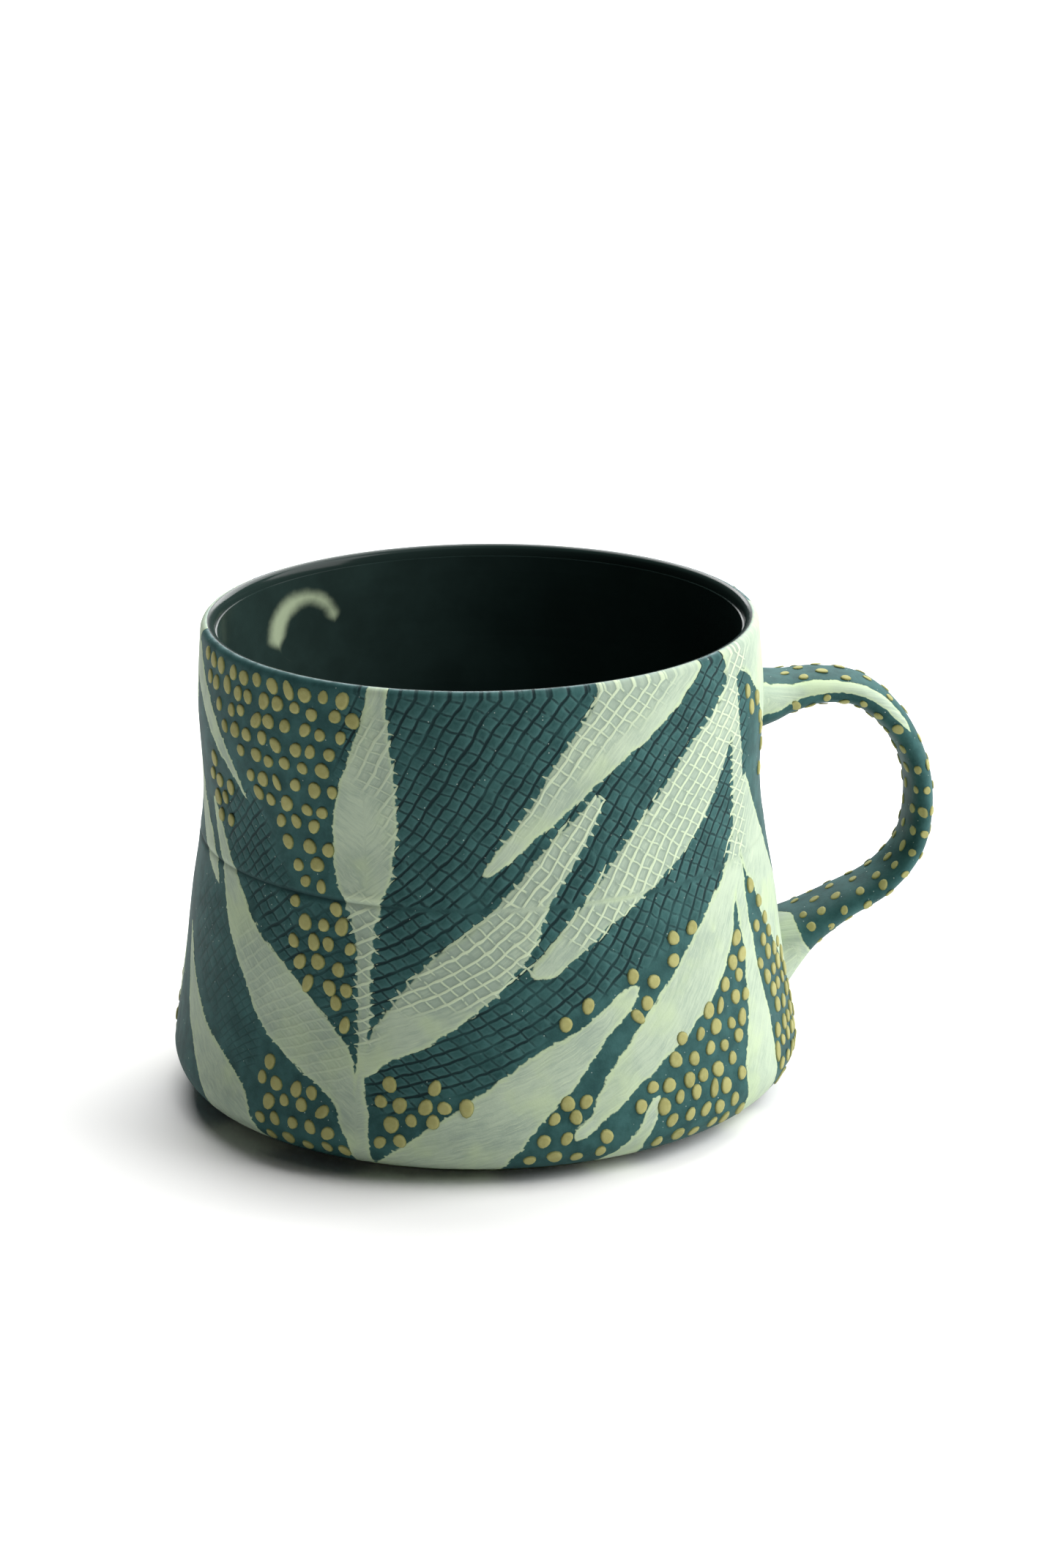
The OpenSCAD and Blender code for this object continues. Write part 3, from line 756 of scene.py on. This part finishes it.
    # paler blue-grey in patches along the top of the lip
    lip_top = m.ease(inside, 0.02, 0.35) * m.ease(inside, 0.98, 0.55)
    colour = m.blend(lip_top * 0.5 * m.ease(m.noise(500.0), 0.35, 0.6), colour, LIP_TOP_PALE)
    colour = m.blend(m.ease(inside, 0.55, 0.9), colour, GLAZE)
    rough = m.ease(inside, 0.5, 0.95, 0.62, 0.16) + (grain - 0.5) * 0.15
    height = grain * 0.25 + drift * 0.2 - lines * net * (1.0 - leaf) * 0.8
    height = height + leaf * 0.35 + lines * lace * leaf * 0.4 + streaks * leaf * 0.2
    height = height * m.ease(inside, 0.4, 0.8, 1.0, 0.0) * (1.0 - bare) + bare * grain * 0.5
    return m.finish(colour, rough, height, 0.7, 0.00018)


def dotted_slip():
    """Matte ochre slip, with painted shade, darker and greener, round the foot of each dot."""
    m = Recipe("ochre_slip", specular=0.15)
    grain = m.noise(2200.0, 3.0, 0.6)
    colour = m.blend(m.layer("shade"), OCHRE_DARK, OCHRE)
    colour = m.blend(m.ease(m.noise(900.0), 0.35, 0.75) * 0.5, colour, OCHRE_PALE)
    # painted shade round the foot of each dot
    colour = m.blend(m.ease(m.layer("rim"), 0.25, 0.95) * 0.7, colour, OCHRE_FOOT_SHADE)
    return m.finish(colour, 0.55 + grain * 0.2, grain, 0.5, 0.0001)


def gloss_liner():
    """Glossy near-black green glaze with soft clouding."""
    m = Recipe("liner", specular=0.4)
    cloud = m.noise(90.0, 4.0, 0.6)
    colour = m.blend(m.ease(cloud, 0.3, 0.75), GLAZE, GLAZE_CLOUD)
    place = m.node("ShaderNodeSeparateXYZ", Vector=m.place)
    x, y, z = (Value(m, place.outputs[k]) for k in range(3))
    angle = m.math("ARCTAN2", y, x) * 57.3
    side = (angle - ARCH_ANGLE) * (LINER_R * np.pi / 180) * 0.85
    up = z / MM - ARCH_Z
    from_arc = m.math("ABSOLUTE", m.math("SQRT", side * side + up * up) - ARCH_R)
    from_arc = from_arc + m.ease(up + side * 0.15, -2.2, 1.0, 2.5, 0.0) - side * 0.10
    arch = m.ease(from_arc + m.noise(300.0, 3.0, 0.6) * 1.2, 0.4, 2.8, 1.0, 0.0)
    colour = m.blend(arch * 0.85, colour, ARCH_SLIP)
    return m.finish(colour, 0.16 + cloud * 0.08, m.noise(220.0, 2.0), 0.10, 0.0003)


def bare_stoneware(name, colour, dark):
    """Unglazed fired clay with fine sand and slow colour drift."""
    m = Recipe(name, roughness=0.85, specular=0.2)
    sand = m.noise(3200.0, 3.0, 0.7)
    tint = m.blend(m.ease(m.noise(140.0, 4.0), 0.3, 0.7), dark, colour)
    tint = m.blend(m.ease(sand, 0.60, 0.72) * 0.5, tint, SAND)
    return m.finish(tint, 0.8 + sand * 0.15, sand, 0.5, 0.0002)


def pale_floor():
    m = Recipe("floor_card", roughness=0.9, specular=0.05)
    return m.finish(m.blend(m.noise(3.0) * 0.1, (0.90, 0.90, 0.89), (0.86, 0.86, 0.86)))


def dress(piece, material):
    piece.data.materials.clear()
    piece.data.materials.append(material)


# ---------------------------------------------------------------- stage

CAMERA_AT = Vector((-0.1140, -0.8114, 0.3096))
CAMERA_AIM = Vector((0.0076, -0.0011, 0.0506))
CAMERA_ROLL = -0.6          # degrees
LENS = 121.0
SENSOR = 36.0
WORLD_LIGHT = 0.03

# Square lamps: name, place and aim in metres, side in metres, power in watts.
LAMPS = [
    ("key_right", (1.35, -0.3, 1.0), (0, 0, 0.05), 1.4, 44.0),
    ("back_top", (0.4, 1.15, 1.35), (0, 0.1, 0.0), 2.0, 76.0),
    ("top_fill", (0.7, -0.7, 1.9), (0, -0.3, 0.0), 1.5, 7.0),
]


def set_stage():
    """Pale floor, soft studio lights from the right and behind, and the camera."""
    floor = mesh_piece("floor_sheet", np.array([[-3000, -3000, 0], [3000, -3000, 0], [3000, 6000, 0],
                                                [-3000, 6000, 0]]), [[0, 1, 2, 3]])
    dress(floor, pale_floor())

    for name, at, aim, size, power in LAMPS:
        lamp = bpy.data.lights.new(name, "AREA")
        lamp.shape, lamp.size, lamp.energy = "SQUARE", size, power
        item = bpy.data.objects.new(name, lamp)
        item.location = at
        item.rotation_euler = (Vector(aim) - Vector(at)).to_track_quat("-Z", "Y").to_euler()
        bpy.context.scene.collection.objects.link(item)

    world = bpy.data.worlds.new("studio")
    world.use_nodes = True
    world.node_tree.nodes["Background"].inputs["Color"].default_value = (1, 1, 1, 1)
    world.node_tree.nodes["Background"].inputs["Strength"].default_value = WORLD_LIGHT
    bpy.context.scene.world = world
    bpy.context.scene.view_settings.view_transform = "Standard"

    lens = bpy.data.cameras.new("camera")
    lens.sensor_width = SENSOR
    lens.lens = LENS
    lens.clip_start, lens.clip_end = 0.01, 20.0
    camera = bpy.data.objects.new("camera", lens)
    turn = (CAMERA_AIM - CAMERA_AT).to_track_quat("-Z", "Y").to_matrix()
    roll = Matrix.Rotation(np.radians(CAMERA_ROLL), 3, "Z")
    camera.rotation_euler = (turn @ roll).to_euler()
    camera.location = CAMERA_AT
    bpy.context.scene.collection.objects.link(camera)
    bpy.context.scene.camera = camera


# ---------------------------------------------------------------- the mug

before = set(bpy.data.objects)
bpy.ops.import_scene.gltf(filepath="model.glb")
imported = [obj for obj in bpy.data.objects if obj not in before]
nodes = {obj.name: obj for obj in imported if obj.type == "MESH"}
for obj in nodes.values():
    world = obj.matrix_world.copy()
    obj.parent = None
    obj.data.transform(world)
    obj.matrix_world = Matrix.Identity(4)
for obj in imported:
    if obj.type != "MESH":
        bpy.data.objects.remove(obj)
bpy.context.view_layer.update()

clay_paint = painted_clay("painted_clay")
strap_paint = painted_clay("painted_strap", with_stripe=True)
dot_paint = dotted_slip()

pieces = [
    (build_upper_band(), "upper_wall", "slip_decorated_clay", clay_paint),
    (build_lower_band(), "lower_wall", "slip_decorated_clay", clay_paint),
    (build_slab(), "floor_slab", "bare_clay", clay_paint),
    (build_strap(), "handle", "handle_clay", strap_paint),
]
for name, node, seed, tall in (("dots_upper", "upper_dots", 5, DOT_HEIGHT),
                               ("dots_lower", "lower_dots", 6, DOT_HEIGHT),
                               ("dots_strap", "handle_dots", 7, STRAP_DOT_HEIGHT)):
    pieces.append((build_dots(name, nodes[node], seed, tall), node, "slip_dots", dot_paint))
for piece, node, slot, material in pieces:
    dress(piece, material)
    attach(piece, ROOT)
    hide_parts(node)

dress(nodes["liner_glaze"], gloss_liner())
dress(nodes["foot_ring"], bare_stoneware("foot_clay", (0.52, 0.56, 0.40), (0.34, 0.38, 0.29)))
dress(nodes["corner_coil"], bare_stoneware("coil_clay", (0.30, 0.33, 0.28), (0.22, 0.26, 0.22)))

set_stage()
